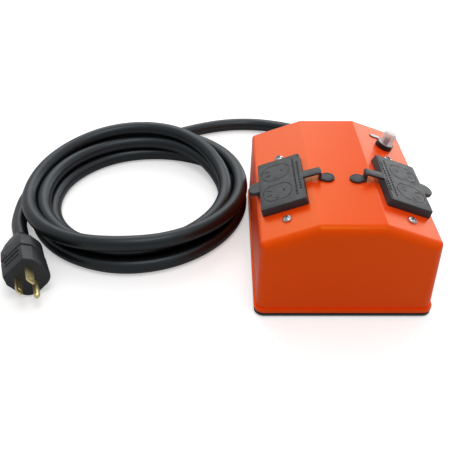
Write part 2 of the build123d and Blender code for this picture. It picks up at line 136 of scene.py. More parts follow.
def orange_shell():
    """Glossy moulded housing with very slight waves; its gloss is tinted so that it stays orange."""
    m = Nodes("orange_shell", (0.94, 0.060, 0.0015), 0.3)
    m.shader.inputs["Specular IOR Level"].default_value = 0.44
    m.shader.inputs["Specular Tint"].default_value = (0.95, 1.0, 0.1, 1)
    m.colors(m.noise(9, 1), (0.92, 0.057, 0.0013), (0.97, 0.063, 0.0017), FULL_SPAN)
    m.rough(m.noise(12, 1), 0.285, 0.33, FULL_SPAN)
    m.bump(m.noise(28, 1), 0.04, 0.0006)
    return m.material


def cover_rubber():
    """Satin black rubber with a fine grain."""
    m = Nodes("cover_rubber", (0.011, 0.013, 0.016), 0.5)
    m.shader.inputs["Specular IOR Level"].default_value = 0.68
    m.colors(m.noise(90, 4), (0.009, 0.011, 0.014), (0.013, 0.016, 0.020))
    m.rough(m.noise(200, 3), 0.42, 0.54)
    m.bump(m.noise(2600, 3), 0.16, 0.0002)
    return m.material


def cord_jacket():
    """Black cord jacket with a fine grain and the soft unevenness of a coiled cord."""
    m = Nodes("cord_jacket", (0.003, 0.0034, 0.0042), 0.36)
    m.shader.inputs["Specular IOR Level"].default_value = 0.62
    m.shader.inputs["Specular Tint"].default_value = (0.82, 0.93, 1.0, 1)
    m.colors(m.noise(55, 4), (0.0024, 0.0028, 0.0035), (0.0045, 0.005, 0.006), WIDE_SPAN)
    m.rough(m.noise(130, 4), 0.32, 0.42, WIDE_SPAN)
    grain = m.bump(m.noise(1500, 2), 0.10, 0.0002)
    m.bump(m.noise(26, 3), 0.22, 0.0012, grain)
    return m.material


def moulded(name, first, second, low, high):
    """Moulded plastic or rubber with a fine grain; low and high are its roughness."""
    m = Nodes(name, first, (low + high) / 2)
    m.colors(m.noise(70, 4), first, second)
    m.rough(m.noise(180, 3), low, high)
    m.bump(m.noise(1800, 2), 0.12, 0.0002)
    return m.material


def drawn_metal(name, first, second, low, high):
    """Metal with fine lines left by drawing or pressing."""
    m = Nodes(name, first, (low + high) / 2, Metallic=1.0)
    lines = m.noise(700, 3, vector=m.scaled(*DRAWN_STRETCH))
    m.colors(m.noise(240, 4), first, second)
    m.rough(lines, low, high)
    m.bump(lines, 0.10, 0.00015)
    return m.material


def clear_silicone():
    """Clear moulded silicone, milkier where it is seen edge on."""
    m = Nodes("clear_silicone", (0.93, 0.90, 0.90), 0.2)
    m.rough(m.noise(160, 3), 0.16, 0.26)
    edge = m.add("ShaderNodeLayerWeight", Blend=0.35)
    m.link(m.ramp(edge.outputs["Facing"], 0.24, 0.95, WIDE_SPAN), m.shader.inputs["Alpha"])
    m.bump(m.noise(500, 2), 0.04, 0.0003)
    return m.material


paint = {
    "orange_shell": orange_shell(),
    "cover_rubber": cover_rubber(),
    "cord_jacket": cord_jacket(),
    "clear_silicone": clear_silicone(),
    "black_plastic": moulded("black_plastic", (0.012, 0.012, 0.013), (0.02, 0.02, 0.022), 0.32, 0.5),
    "black_rubber": moulded("black_rubber", (0.014, 0.014, 0.015), (0.024, 0.024, 0.026), 0.6, 0.8),
    "plug_vinyl": moulded("plug_vinyl", (0.012, 0.014, 0.017), (0.018, 0.021, 0.025), 0.38, 0.5),
    "gland_nylon": moulded("gland_nylon", (0.014, 0.014, 0.016), (0.022, 0.022, 0.024), 0.38, 0.52),
    "outlet_nylon": moulded("outlet_nylon", (0.016, 0.016, 0.018), (0.026, 0.026, 0.028), 0.3, 0.45),
    "button_plastic": moulded("button_plastic", (0.016, 0.018, 0.03), (0.026, 0.028, 0.045), 0.25, 0.4),
    "board_laminate": moulded("board_laminate", (0.012, 0.12, 0.04), (0.02, 0.17, 0.06), 0.3, 0.45),
    "white_nylon": moulded("white_nylon", (0.68, 0.67, 0.62), (0.76, 0.75, 0.7), 0.4, 0.55),
    "varistor_coat": moulded("varistor_coat", (0.02, 0.09, 0.34), (0.03, 0.12, 0.42), 0.3, 0.45),
    "fuse_body": moulded("fuse_body", (0.62, 0.58, 0.48), (0.7, 0.66, 0.56), 0.45, 0.6),
    "capacitor_film": moulded("capacitor_film", (0.6, 0.47, 0.06), (0.68, 0.55, 0.09), 0.35, 0.5),
    "wire_green": moulded("wire_green", (0.02, 0.26, 0.05), (0.03, 0.32, 0.07), 0.4, 0.55),
    "wire_white": moulded("wire_white", (0.7, 0.7, 0.68), (0.8, 0.8, 0.78), 0.4, 0.55),
    "wire_black": moulded("wire_black", (0.015, 0.015, 0.016), (0.025, 0.025, 0.026), 0.4, 0.55),
    "brass": drawn_metal("brass", (0.86, 0.72, 0.34), (0.94, 0.82, 0.46), 0.28, 0.42),
    "zinc_steel": drawn_metal("zinc_steel", (0.5, 0.5, 0.51), (0.6, 0.6, 0.61), 0.18, 0.26),
    "nickel": drawn_metal("nickel", (0.62, 0.6, 0.55), (0.7, 0.68, 0.63), 0.2, 0.34),
    "plate_aluminium": drawn_metal("plate_aluminium", (0.42, 0.42, 0.43), (0.52, 0.52, 0.53), 0.3, 0.42),
}

for row in record["subparts"]:
    node = frame["nodes"][row["node"]]
    node.data.materials.clear()
    node.data.materials.append(paint[row["material_slot"]])

# ------------------------------------------------------------------ mesh helpers


def mesh_object(name, bm, slot):
    """Object from a finished bmesh, in the finish of one of the record's material slots."""
    bmesh.ops.recalc_face_normals(bm, faces=bm.faces)
    data = bpy.data.meshes.new(name)
    bm.to_mesh(data)
    bm.free()
    piece = bpy.data.objects.new(name, data)
    bpy.context.scene.collection.objects.link(piece)
    data.materials.append(paint[slot])
    return piece


def smooth(piece, angle=35.0):
    """Smooth shading, with edges sharper than the angle kept sharp."""
    for face in piece.data.polygons:
        face.use_smooth = True
    piece.data.set_sharp_from_angle(angle=radians(angle))
    return piece


def apply_modifiers(piece):
    """Replace the piece's mesh with the one that its modifiers make of it."""
    bpy.context.view_layer.update()
    graph = bpy.context.evaluated_depsgraph_get()
    data = bpy.data.meshes.new_from_object(piece.evaluated_get(graph))
    piece.modifiers.clear()
    piece.data = data


def bevel(piece, width, segments, angle):
    """Round off the edges sharper than the angle; the width is in millimetres."""
    mod = piece.modifiers.new("bevel", "BEVEL")
    mod.width = width * MM
    mod.segments = segments
    mod.limit_method = "ANGLE"
    mod.angle_limit = radians(angle)
    apply_modifiers(piece)


def engrave(piece, cutter):
    """Cut closed shapes out of a piece and drop the cutter."""
    mod = piece.modifiers.new("engrave", "BOOLEAN")
    mod.operation = "DIFFERENCE"
    mod.solver = "EXACT"
    mod.use_self = True
    mod.object = cutter
    apply_modifiers(piece)
    bpy.data.objects.remove(cutter, do_unlink=True)


def skin(bm, rings, matrix, closed=False):
    """Faces between rings of points given in millimetres; open ends are capped."""
    loops = [[bm.verts.new(matrix @ (Vector(p) * MM)) for p in ring] for ring in rings]
    pairs = list(zip(loops, loops[1:] + loops[:1])) if closed else list(zip(loops, loops[1:]))
    for low, high in pairs:
        for i in range(len(low)):
            j = (i + 1) % len(low)
            bm.faces.new((low[i], low[j], high[j], high[i]))
    if not closed:
        bm.faces.new(loops[0])
        bm.faces.new(loops[-1])


def circle(radius, z, count=48, x=0.0, y=0.0):
    turn = 2 * pi / count
    return [(x + radius * cos(turn * i), y + radius * sin(turn * i), z) for i in range(count)]


def rounded(half_x, half_y, r, z, steps=6):
    """Rectangle with round corners, in the plane at height z."""
    ring = []
    for k, (sx, sy) in enumerate(((1, 1), (-1, 1), (-1, -1), (1, -1))):
        for i in range(steps + 1):
            angle = pi / 2 * (k + i / steps)
            ring.append((sx * (half_x - r) + r * cos(angle), sy * (half_y - r) + r * sin(angle), z))
    return ring


def turned(name, profile, matrix, slot, count=64):
    """Solid of revolution: profile is a closed list of (radius, height), or ends at the axis."""
    bm = bmesh.new()
    skin(bm, [circle(r, z, count) for r, z in profile], matrix, closed=True)
    return smooth(mesh_object(name, bm, slot))


def frame_at(origin, x_axis, z_axis):
    """Matrix with its origin in millimetres and its x and z along the given directions."""
    z = Vector(z_axis).normalized()
    x = (Vector(x_axis) - z * z.dot(Vector(x_axis))).normalized()
    matrix = Matrix((x, z.cross(x), z)).transposed().to_4x4()
    matrix.translation = Vector(origin) * MM
    return matrix


OUTLET_PROUD = 1.5  # outlet faces stand this far out of the slope


def panel_frame(mount):
    """Outlet panel: x down the slope, y to the back, z out of the panel."""
    out = Vector(mount["axis"]).normalized()
    side = 1 if out.x > 0 else -1
    down = Vector((side * out.z, 0, -abs(out.x)))
    matrix = Matrix((down, Vector((0, 1, 0)), out)).transposed().to_4x4()
    matrix.translation = Vector(mount["pos_m"]) - out * OUTLET_PROUD * MM
    return matrix


# ------------------------------------------------------------------ covers

# Cover slab: half sizes, thickness, depth of its hollow and how much it narrows upwards; then the half sizes
# of the hollow, and the pull tab's middle, radius, underside and top.
COVER_X, COVER_Y, COVER_T, COVER_DEEP, FLARE = 18.3, 32.5, 6.4, 3.0, 0.5
WALL_X, WALL_Y = COVER_X - 2.0, COVER_Y - 1.7
TAB_X, TAB_Y, TAB_R, TAB_LOW, TAB_TOP = 19.8, 1.6, 7.5, 2.3, 5.8

# Marks engraved in its face: two outlet outlines with small marks in them, two rows of short dashes and two
# lines along the edge.
OUTLINE_X, OUTLINE_PITCH, OUTLINE_R, OUTLINE_FLAT = 3.4, 27.6, 11.7, 10.2
GROOVE_W, GROOVE_D = 0.55, 0.5
SLOT_BARS = ((6.4, -2.6, 4.6, -10.4), (6.4, 3.4, 4.6, 13.6), (0.5, -7.6, 3.2, 0.0))  # x, y, length, turn
SLOT_W = 0.7
DOT_X, DOT_Y, DOT_R = -5.2, 0.6, 0.8
DASH_ROWS = ((-11.6, 24.0, 0.0), (-14.9, 18.5, 0.6))  # x, half length and shift along y
DASH_STEP, DASH_L, DASH_W = 3.4, 2.2, 1.6
EDGE_INSET, EDGE_W = 1.7, 0.6
EDGE_LINES = ((19, 22), (-17, 26))  # middle and length along y

# Strap's width, thickness, reach of its rounded folds and lap over the cover; then the roof's height and the
# strap's round foot on it.
STRAP_W, STRAP_T, FOLD, STRAP_LAP = 8.5, 1.8, 1.3, 3.0
TOP_Z, DISC_X, DISC_R = 84.3, 11.6, 5.8


def outlet_outline(grow):
    """Round outline with two flats, as on a duplex receptacle."""
    r = OUTLINE_R + grow
    flat = asin((OUTLINE_FLAT + grow) / r)
    points = []
    for start in (-flat, pi - flat):
        for i in range(17):
            angle = start + 2 * flat * i / 16
            points.append((r * cos(angle), r * sin(angle)))
    return points


def bar(bm, matrix, x, y, length, width, low, high, turn=0.0):
    """Small box, long along x before it is turned about z."""
    place = matrix @ Matrix.Translation(Vector((x, y, 0)) * MM) @ Matrix.Rotation(radians(turn), 4, "Z")
    skin(bm, [rounded(length / 2, width / 2, 0.25, z, 2) for z in (low, high)], place)


def cover_marks(matrix):
    """Cutter for all the marks on a cover's face."""
    bm = bmesh.new()
    low, high = COVER_T - GROOVE_D, COVER_T + 1
    for end in (-1, 1):
        place = matrix @ Matrix.Translation(Vector((OUTLINE_X, end * OUTLINE_PITCH / 2, 0)) * MM)
        rims = []
        wide = GROOVE_W / 2
        for grow, z in ((wide, low), (wide, high), (-wide, high), (-wide, low)):
            rims.append([(x, y, z) for x, y in outlet_outline(grow)])
        skin(bm, rims, place, closed=True)
        for x, y, length, turn in SLOT_BARS:
            bar(bm, place, x, y, length, SLOT_W, low, high, turn)
        skin(bm, [circle(DOT_R, z, 12, DOT_X, DOT_Y) for z in (low, high)], place)
    for x, half, shift in DASH_ROWS:
        count = int(2 * half / DASH_STEP)
        for i in range(count + 1):
            y = -half + 2 * half * i / count + shift
            bar(bm, matrix, x, y, DASH_W, DASH_L, low - 0.1, high)
    for y, length in EDGE_LINES:
        bar(bm, matrix, EDGE_INSET - COVER_X, y, EDGE_W, length, low, high)
    return mesh_object("cover_marks", bm, "cover_rubber")


def tab_outline(shrink, z):
    """Half-round pull tab, its straight end inside the slab."""
    r = TAB_R - shrink
    ring = [(TAB_X - 2.5, -r, z)]
    ring += [(TAB_X + r * sin(pi * i / 16), -r * cos(pi * i / 16), z) for i in range(17)]
    return ring + [(TAB_X - 2.5, r, z)]


def make_cover(side, matrix):
    """Hollow rubber slab with rounded edges, its pull tab and the marks on its face."""
    bm = bmesh.new()
    top_x, top_y = COVER_X - FLARE, COVER_Y - FLARE
    skin(bm, [
        rounded(WALL_X - 0.4, WALL_Y - 0.4, 1.2, COVER_DEEP),
        rounded(WALL_X, WALL_Y, 1.4, COVER_DEEP - 0.5),
        rounded(WALL_X, WALL_Y, 1.4, 0.1),
        rounded(COVER_X, COVER_Y, 1.7, 0.1),
        rounded(COVER_X, COVER_Y, 1.7, 0.9),
        rounded(top_x, top_y, 1.5, COVER_T - 0.45),
        rounded(top_x - 0.13, top_y - 0.13, 1.4, COVER_T - 0.13),
        rounded(top_x - 0.5, top_y - 0.5, 1.1, COVER_T),
    ], matrix)
    place = matrix @ Matrix.Translation(Vector((0, TAB_Y, 0)) * MM)
    levels = ((0.5, TAB_LOW), (0, TAB_LOW + 0.5), (0, TAB_TOP - 0.5), (0.5, TAB_TOP))
    skin(bm, [tab_outline(shrink, z) for shrink, z in levels], place)
    slab = mesh_object(f"{side}_flap_cover", bm, "cover_rubber")
    engrave(slab, cover_marks(matrix))
    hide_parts(f"{side}_cover")
    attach(smooth(slab, 25), f"{side}_flap")


def strap_path(sign, matrix, hinge):
    """Centre line of the strap in the XZ plane: disc, step up, hinge fold, cover edge."""
    low = TOP_Z + STRAP_T / 2
    cover_end = matrix @ (Vector((-COVER_X + STRAP_LAP, 0, COVER_T - STRAP_T / 2)) * MM) / MM
    corners = [
        Vector((sign * DISC_X, 0, low)), Vector((hinge.x, 0, low)), Vector((hinge.x, 0, hinge.z)),
        Vector((cover_end.x, 0, cover_end.z)),
    ]
    path = []
    for i, corner in enumerate(corners):
        if i in (0, 3):
            path.append(corner)
            continue
        back = (corners[i - 1] - corner).normalized() * FOLD
        ahead = (corners[i + 1] - corner).normalized() * FOLD
        for k in range(7):
            t = k / 6
            path.append(corner + back * (1 - t) ** 2 + ahead * t ** 2)
    last = path.pop()
    start = path[-1]
    steps = 10
    path += [start.lerp(last, k / steps) for k in range(1, steps + 1)]
    return path


def make_strap(side, sign, matrix, hinge):
    """Flat strap from its round foot on the roof, over the hinge fold, to the cover's edge."""
    path = strap_path(sign, matrix, hinge)
    bm = bmesh.new()
    rings = []
    for i, point in enumerate(path):
        run = (path[min(i + 1, len(path) - 1)] - path[max(i - 1, 0)]).normalized()
        up = Vector((-run.z, 0, run.x))
        ring = rounded(STRAP_W / 2, STRAP_T / 2, 0.35, 0, 2)
        rings.append([point + Vector((0, hinge.y + a, 0)) + up * b for a, b, _ in ring])
    skin(bm, rings, Matrix.Identity(4))
    strap = smooth(mesh_object(f"{side}_flap_strap", bm, "cover_rubber"), 40)
    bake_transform(strap)


def make_disc(side, sign, hinge):
    """Flat round foot of the strap, with its stem and button under the roof."""
    place = Matrix.Translation(Vector((sign * DISC_X, hinge.y, TOP_Z)) * MM)
    profile = [
        (1.6, -5.4), (3.3, -4.9), (3.3, -3.0), (2.1, -2.9), (2.1, 0.0), (DISC_R, 0.02), (DISC_R, 1.5),
        (DISC_R - 0.4, 1.85), (4.5, 1.9), (4.3, 1.65), (3.9, 1.65), (3.7, 1.9), (0.8, 1.95),
    ]
    bm = bmesh.new()
    skin(bm, [circle(r, z) for r, z in profile], place)
    disc = smooth(mesh_object(f"{side}_strap_disc", bm, "cover_rubber"), 30)
    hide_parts(f"{side}_cover_anchor")
    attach(disc, "housing")


for side, sign in (("left", -1), ("right", 1)):
    panel = panel_frame(mounts[f"{side}_outlets"])
    hinge_at = Vector(joints[f"{side}_cover_hinge"]["pos_m"]) / MM
    make_cover(side, panel)
    make_strap(side, sign, panel, hinge_at)
    make_disc(side, sign, hinge_at)

# ------------------------------------------------------------------ screws, breaker boot, rating plate

# Screw head, half the distance between the two of a pair, the shank, and the cross recess with its turn.
SCREW_R, SCREW_EDGE, SCREW_DOME, SCREW_HALF = 3.7, 0.5, 1.8, 43.0
SHANK_R, SHANK_L = 1.5, 7.4
RECESS_L, RECESS_W, RECESS_LOW = 4.8, 1.6, 0.6
SCREW_TURNS = (
    ("left_outlets", -1, 20), ("left_outlets", 1, 65), ("right_outlets", -1, 40), ("right_outlets", 1, 5),
)

# Places on the right-hand slope, down from the fold and along Y, and half sizes of the oval plate.
OUTLET_S = 23.4
BREAKER_S, BREAKER_Y = 24.5, 48.0
RATING_S, RATING_Y = 19.2, 62.3
RIM_X, RIM_Y, FACE_X, FACE_Y = 5.25, 2.6, 4.6, 1.95
PRESSED_DASHES = ((-1.6, 3.4), (2.2, 2.2))  # x and length


def make_screws():
    """Domed heads with a cross recess, and their shanks."""
    bm = bmesh.new()
    cutter = bmesh.new()
    profile = [(SHANK_R, -SHANK_L), (SHANK_R, 0.04), (SCREW_R, 0.05), (SCREW_R, SCREW_EDGE)]
    steps = 9
    for i in range(1, steps):
        angle = pi / 2 * i / steps
        profile.append((SCREW_R * cos(angle) ** 0.8, SCREW_EDGE + SCREW_DOME * sin(angle)))
    for name, end, turn in SCREW_TURNS:
        place = panel_frame(mounts[name]) @ Matrix.Translation(Vector((0, end * SCREW_HALF, 0)) * MM)
        skin(bm, [circle(r, z, 40) for r, z in profile], place)
        for angle in (turn, turn + 90):
            bar(cutter, place, 0, 0, RECESS_L, RECESS_W, RECESS_LOW, 4.0, turn=angle)
    screws = mesh_object("panel_screws", bm, "zinc_steel")
    engrave(screws, mesh_object("screw_recesses", cutter, "zinc_steel"))
    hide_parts("outlet_screws")
    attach(smooth(screws, 30), "housing")


def breaker_frame(s, y):
    """Place on the right-hand slope, s millimetres down from the fold."""
    panel = panel_frame(mounts["right_outlets"])
    shift = Vector((s - OUTLET_S, y - mounts["right_outlets"]["pos_m"][1] / MM, 0))
    return panel @ Matrix.Translation(shift * MM)


def make_boot():
    """Clear cap with a flange and a rounded top edge, about 0.7 mm thick; rows are radius and height."""
    outside = [(6.4, 4.25), (6.4, 4.75), (5.8, 5.15), (5.65, 8.0), (5.6, 12.6), (5.2, 14.0), (4.2, 14.8)]
    inside = [(3.9, 14.1), (4.7, 13.4), (4.95, 12.4), (5.0, 8.0), (5.05, 4.25)]
    profile = outside + [(0.01, 15.1), (0.01, 14.4)] + inside
    boot = turned("clear_boot", profile, breaker_frame(BREAKER_S, BREAKER_Y), "clear_silicone")
    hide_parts("breaker_boot")
    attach(boot, "housing")


def make_rating_plate():
    """Blank oval plate: a dark rim with a bright face and two plain pressed dashes."""
    place = breaker_frame(RATING_S, RATING_Y)
    rim = bmesh.new()
    levels = ((0, 0.05), (0, 0.55), (0.2, 0.7))
    skin(rim, [rounded(RIM_X - a, RIM_Y - a, RIM_Y - 0.01 - a, z, 8) for a, z in levels], place)
    rim = mesh_object("rating_rim", rim, "black_plastic")
    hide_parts("rating_plate")
    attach(smooth(rim, 30), "housing")
    face = bmesh.new()
    levels = ((0, 0.6), (0, 0.8), (0.15, 0.9))
    skin(face, [rounded(FACE_X - a, FACE_Y - a, FACE_Y - 0.01 - a, z, 8) for a, z in levels], place)
    face = mesh_object("rating_face", face, "plate_aluminium")
    dashes = bmesh.new()
    for x, length in PRESSED_DASHES:
        bar(dashes, place, x, 0, length, 0.7, 0.75, 2)
    engrave(face, mesh_object("rating_dashes", dashes, "plate_aluminium"))
    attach(smooth(face, 30), "housing")


make_screws()
make_boot()
make_rating_plate()

# ------------------------------------------------------------------ gland and plug

# Gland nut at the back and the bend relief that it runs into, with heights measured from GLAND_FACE.
GLAND_FACE = (5.0, 85.0, 23.0)
NUT_R, NUT_EDGE_R, NUT_BACK_R = 12.4, 11.2, 11.4
NUT_START, NUT_LOW, NUT_HIGH, NUT_END = 6.15, 6.9, 14.6, 16.0
NUT_FLUTES, FLUTE_DEPTH = 12, 0.06
RELIEF_START, RELIEF_END, RELIEF_WIDE, RELIEF_TIP, RELIEF_RIBS = 16.4, 36.0, 11.2, 8.6, 6
RELIEF_GROOVE, CORD_BORE, NUT_BORE, BORE_STEP = 0.75, 7.1, 9.2, 12.2

# Height of the blades over the plug's axis, and of the blades over the pin; then the pin's outer and inner
# radius, the ends of its straight part along the axis, and the width of its seam in degrees.
BLADE_Y, PIN_DROP = 4.0, 11.9
PIN_R, PIN_BORE, PIN_BACK, PIN_L, PIN_GAP = 2.4, 1.55, -11.9, 17.6, 28

# Height of the plug's cut corners as a share of the height of its flat side over the axis.
PLUG_CUT = 7.2 / 14.5

# Raised marks on the plug's flat side, at MARK_Y over the axis and measured back from the blade face: a line
# across it, a row of short bars, and an arc on the grip.
MARK_Y, MARK_SINK, LINE_H, BAR_H = 14.6, -0.6, 0.8, 0.75
LINE_BACK, LINE_L, LINE_W = 17.6, 17, 0.8
BAR_COUNT, BAR_START, BAR_STEP, BAR_BACK, BAR_L, BAR_W = 9, -7.2, 1.8, 12.4, 3.0, 0.9
ARC_X, ARC_Y, ARC_Z, ARC_HALF = -11.5, 14.35, -28.2, 58
ARC_RX, ARC_RZ, ARC_SIDE, ARC_H = 4.5, 4.2, 0.45, 0.75
ARC_SECTION = ((-1, -1), (1, -1), (1, 0.8), (0.4, 1.1), (-0.4, 1.1), (-1, 0.8))


def make_gland_relief():
    """Fluted gland nut running into a ribbed, tapered bend relief."""
    place = frame_at(GLAND_FACE, (1, 0, 0), (0, 1, 0))
    bm = bmesh.new()
    count = 96
    rings = []
    nut = ((NUT_EDGE_R, NUT_START, 0), (NUT_R, NUT_LOW, 1), (NUT_R, NUT_HIGH, 1), (NUT_BACK_R, NUT_END, 0))
    for r, z, fluted in nut:
        depth = FLUTE_DEPTH * fluted
        cut = [1 - depth * max(0.0, cos(NUT_FLUTES * 2 * pi * i / count)) for i in range(count)]
        rings.append([(x * k, y * k, h) for (x, y, h), k in zip(circle(r, z, count), cut)])
    for i in range(RELIEF_RIBS * 4 + 1):
        along = i / (RELIEF_RIBS * 4)
        r = RELIEF_WIDE + (RELIEF_TIP - RELIEF_WIDE) * along
        groove = RELIEF_GROOVE if i % 4 in (2, 3) else 0.0
        rings.append(circle(r - groove, RELIEF_START + (RELIEF_END - RELIEF_START) * along, count))
    rings += [circle(CORD_BORE, RELIEF_END, count), circle(CORD_BORE, BORE_STEP + 0.1, count)]
    rings += [circle(NUT_BORE, BORE_STEP, count), circle(NUT_BORE, NUT_START, count)]
    skin(bm, rings, place, closed=True)
    relief = smooth(mesh_object("gland_relief", bm, "gland_nylon"), 30)
    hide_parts("gland_nut")
    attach(relief, "housing")


def plug_frame():
    """x towards the broad blade, y away from the ground pin, z out of the blade face."""
    out = Vector(mounts["plug_ground_pin"]["axis"]).normalized()
    blades = Vector(mounts["plug_blades"]["pos_m"])
    up = blades - Vector(mounts["plug_ground_pin"]["pos_m"])
    up = (up - out * up.dot(out)).normalized()
    matrix = Matrix((up.cross(out), up, out)).transposed().to_4x4()
    matrix.translation = blades - up * BLADE_Y * MM
    return matrix


def plug_ring(z, half, top, low, flat, r, steps=6):
    """Section of the plug: flat top with cut corners, straight sides and a round underside."""
    cut = PLUG_CUT * top
    ring = [(flat, top, z), (-flat, top, z), (-half, top - cut, z)]
    for k, side in ((2, -1), (3, 1)):
        for i in range(steps + 1):
            angle = pi / 2 * (k + i / steps)
            ring.append((side * (half - r) + r * cos(angle), -low + r + r * sin(angle), z))
    return ring + [(half, top - cut, z)]


# Height, half width, top, underside, half of the flat and corner radius, from the blade face to the neck.
PLUG_FRONT = (
    (-0.1, 14.4, 13.7, 15.9, 10.9, 10.4), (-0.9, 15.2, 14.5, 16.8, 11.4, 11.0),
    (-10, 15.4, 14.7, 15.7, 11.5, 11.2), (-20.6, 15.6, 14.9, 14.3, 11.6, 11.4),
    (-21.2, 15.1, 14.4, 13.8, 11.2, 11.2), (-21.4, 14.3, 13.5, 13.0, 10.7, 10.8),
)
PLUG_BACK = (
    (-23.0, 14.3, 13.5, 13.0, 10.7, 10.8), (-23.2, 15.3, 14.4, 12.9, 11.5, 11.0),
    (-23.9, 15.8, 14.8, 13.3, 11.8, 11.2), (-38.0, 16.0, 14.3, 12.2, 11.8, 11.0),
    (-39.2, 15.4, 14.1, 12.0, 11.4, 10.8), (-48.0, 9.8, 12.6, 10.4, 7.4, 7.4),
    (-50.5, 8.6, 11.6, 9.4, 6.4, 6.4), (-56.8, 7.7, 9.4, 8.6, 5.4, 5.8), (-58.0, 6.9, 8.4, 7.9, 4.6, 5.4),
)


def make_plug():
    """Moulded plug body with a grip, a step round it and a short neck for the cord."""
    place = plug_frame()
    bm = bmesh.new()
    skin(bm, [plug_ring(*row) for row in PLUG_FRONT + PLUG_BACK], place)
    plug = mesh_object("plug_shell", bm, "plug_vinyl")
    bevel(plug, 0.5, 2, 25)
    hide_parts("plug_body")
    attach(smooth(plug, 30), "housing")


def make_plug_ribs():
    """Plain raised marks: a line, a row of short bars and an arc."""
    matrix = plug_frame()
    bm = bmesh.new()
    lift = Matrix.Rotation(radians(-90), 4, "X")
    front = matrix @ Matrix.Translation(Vector((0, MARK_Y, 0)) * MM) @ lift
    bar(bm, front, 0, LINE_BACK, LINE_L, LINE_W, MARK_SINK, LINE_H)
    for i in range(BAR_COUNT):
        bar(bm, front, BAR_START + BAR_STEP * i, BAR_BACK, BAR_W, BAR_L, MARK_SINK, BAR_H)
    sweep = []
    for i in range(13):
        angle = radians(-ARC_HALF + 2 * ARC_HALF * i / 12)
        centre = Vector((ARC_X + ARC_RX * cos(angle), ARC_Y, ARC_Z + ARC_RZ * sin(angle)))
        across = Vector((cos(angle), 0, sin(angle)))
        sweep.append([centre + across * ARC_SIDE * a + Vector((0, ARC_H * b, 0)) for a, b in ARC_SECTION])
    skin(bm, sweep, matrix)
    ribs = smooth(mesh_object("plug_ribs", bm, "plug_vinyl"), 30)
    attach(ribs, "housing")


def make_ground_pin():
    """Folded brass pin: a round tube with a seam along its underside and a rounded tip."""
    matrix = plug_frame() @ Matrix.Translation(Vector((0, BLADE_Y - PIN_DROP, 0)) * MM)
    bm = bmesh.new()
    count = 40
    gap = radians(PIN_GAP)
    arc = [-pi / 2 + gap / 2 + (2 * pi - gap) * i / (count - 1) for i in range(count)]
    stations = [(PIN_BACK, 1.0), (PIN_L, 1.0)]
    for angle in (0.3, 0.6, 0.9, 1.15, 1.35):
        stations.append((PIN_L + PIN_R * sin(angle), max(cos(angle), 0.05)))
    rings = []
    for z, k in stations:
        ring = [(PIN_R * k * cos(a), PIN_R * k * sin(a), z) for a in arc]
        ring += [(PIN_BORE * k * cos(a), PIN_BORE * k * sin(a), z) for a in reversed(arc)]
        rings.append(ring)
    skin(bm, rings, matrix)
    pin = smooth(mesh_object("folded_ground_pin", bm, "brass"), 35)
    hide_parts("plug_ground_pin")
    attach(pin, "housing")


make_gland_relief()
make_plug()
make_plug_ribs()
make_ground_pin()

# ------------------------------------------------------------------ cord

# Diameter in metres; then, in millimetres, the height of the cord's line on the floor and the coil's middle.
CORD_D = 13.5 * MM
FLOOR_Z = 6.85
COIL_X, COIL_Y = -177.8, 67.0
TURN_STEP = 22.5  # degrees between the curve's points round the coil

# The cord's line from the gland to the coil, and from the coil to the plug.
LEAD = [
    (5, 109, 23), (5, 126, 23), (3, 155, 21.5), (-8, 184, 16), (-30, 207, 9.5),
    (-60, 219.5, FLOOR_Z), (-94, 217.5, FLOOR_Z), (-130, 204, FLOOR_Z), (-169, 180, FLOOR_Z),
]
TAIL = [(-284.5, 45, FLOOR_Z), (-281, 23.5, 8.7), (-273.8, 5.8, 11.9), (-268.5, -8.1, 13.4)]

# Angle round the coil in degrees from +X towards +Y, and radius and height of the cord's line there.
COIL = [
    # On the floor, a turn and two thirds.
    (112, 99, FLOOR_Z), (135, 94, FLOOR_Z), (158, 91.5, FLOOR_Z), (180, 91.2, FLOOR_Z),
    (225, 94.5, FLOOR_Z), (270, 98.5, FLOOR_Z), (315, 98.8, FLOOR_Z), (360, 99, FLOOR_Z),
    (382, 98.5, FLOOR_Z), (402, 96, FLOOR_Z), (425, 89, FLOOR_Z), (450, 84.5, FLOOR_Z), (495, 80, FLOOR_Z),
    (540, 77.8, FLOOR_Z), (585, 78.8, FLOOR_Z), (630, 78.3, FLOOR_Z), (675, 82, FLOOR_Z),
    (720, 85.3, FLOOR_Z),
    # Up and once round on top of that.
    (738, 85.3, 7.6), (750, 85.3, 11.4), (762, 85.3, 16.0), (785, 86, 20.4),
    (810, 86, 20.4), (855, 84.5, 20.0), (900, 84.5, 18.9), (945, 87, 18.3), (990, 88.2, 16.2),
    (1035, 87, 19.4), (1080, 85.3, 20.3), (1098, 85.3, 21.2),
    # Over the turns below at the back, then down at the left.
    (1110, 85.5, 24.8), (1122, 86.5, 29.4), (1145, 90, 33.2), (1165, 92.5, 33.6),
    (1190, 94.5, 32.0), (1215, 96.5, 27.5), (1260, 98, 20.4),
    # Over them again at the front, and round the outside to the back.
    (1305, 98.5, 25.0), (1350, 94.3, 28.2), (1395, 98, 27.3), (1440, 99.3, 21.0), (1460, 101, 20.8),
    (1490, 103, 20.5), (1530, 102.5, 20.8), (1552, 103, 20.0),
    # Down to the floor at the left.
    (1575, 104.5, 15.8), (1598, 105, 7.6), (1620, 104.6, FLOOR_Z),
]


def coil_at(angle):
    """Radius and height of the cord's line at an angle, eased between the rows of COIL."""
    for (a0, r0, z0), (a1, r1, z1) in zip(COIL, COIL[1:]):
        if a0 <= angle <= a1:
            t = (angle - a0) / (a1 - a0)
            t = t * t * (3 - 2 * t)
            return r0 + (r1 - r0) * t, z0 + (z1 - z0) * t
    return COIL[-1][1:]


